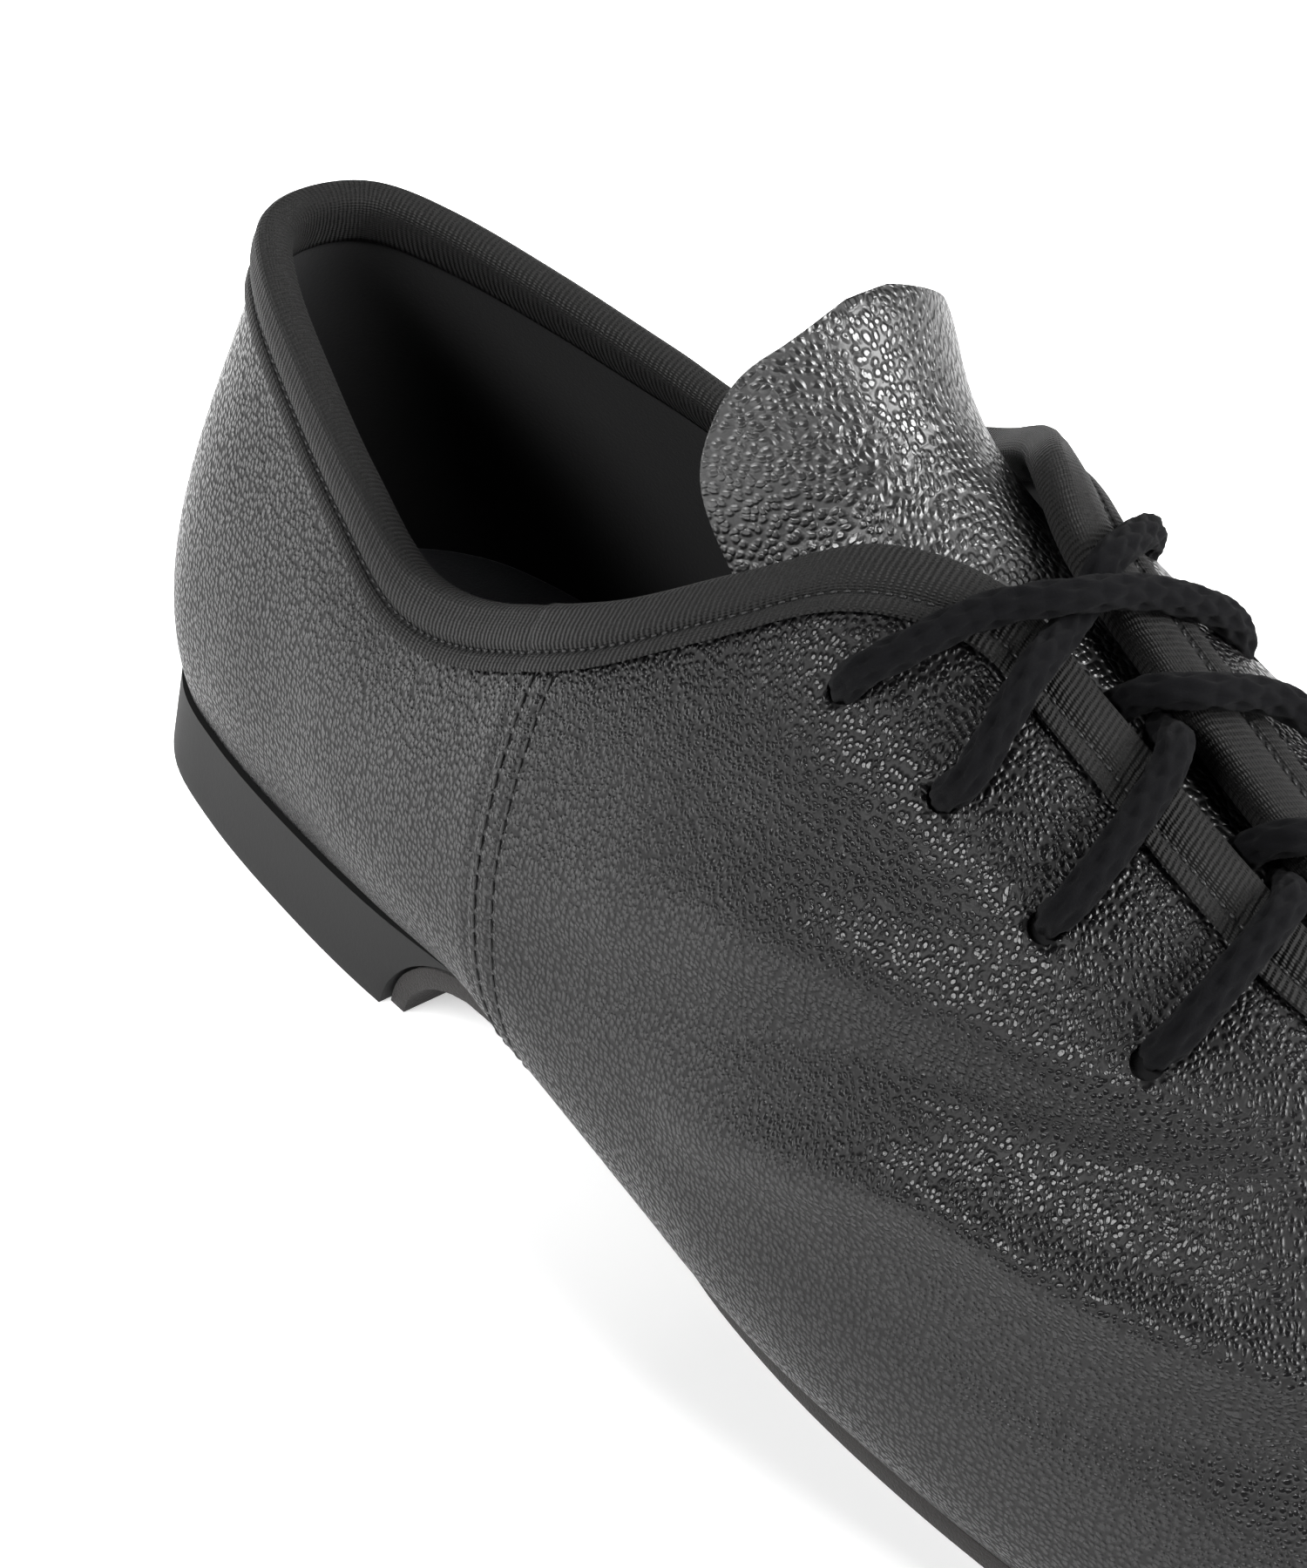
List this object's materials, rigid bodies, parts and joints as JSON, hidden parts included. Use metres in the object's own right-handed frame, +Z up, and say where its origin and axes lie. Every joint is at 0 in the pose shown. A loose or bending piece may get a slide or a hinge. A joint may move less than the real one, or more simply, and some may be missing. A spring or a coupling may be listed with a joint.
{
  "type": "jazz shoe",
  "caption": "Laced black leather jazz shoe for a right foot, with a bound topline, tall tongue, thin suede sole and low rubber heel.",
  "frame": {"origin": "on the floor under the middle of the heel's length, on the heel's flat underside", "axes": "+X from heel to toe, +Y to the inner side of the foot, +Z up"},
  "size_m": [0.2562, 0.0882, 0.1042],
  "materials": {
    "black_leather": "fine pebble grain, soft sheen",
    "grosgrain_tape": "ribbed tape, matt",
    "sock_lining": "brushed lining, matt",
    "sole_suede": "suede nap",
    "heel_rubber": "matt",
    "lace_cotton": "round cotton braid"
  },
  "bodies": {
    "root": {"upper": "black_leather", "binding": "grosgrain_tape", "tongue": "black_leather", "insole": "sock_lining", "outsole": "sole_suede", "heel": "heel_rubber", "lace_crossing_1": "lace_cotton", "lace_crossing_2": "lace_cotton", "lace_crossing_3": "lace_cotton"}
  },
  "joints": []
}
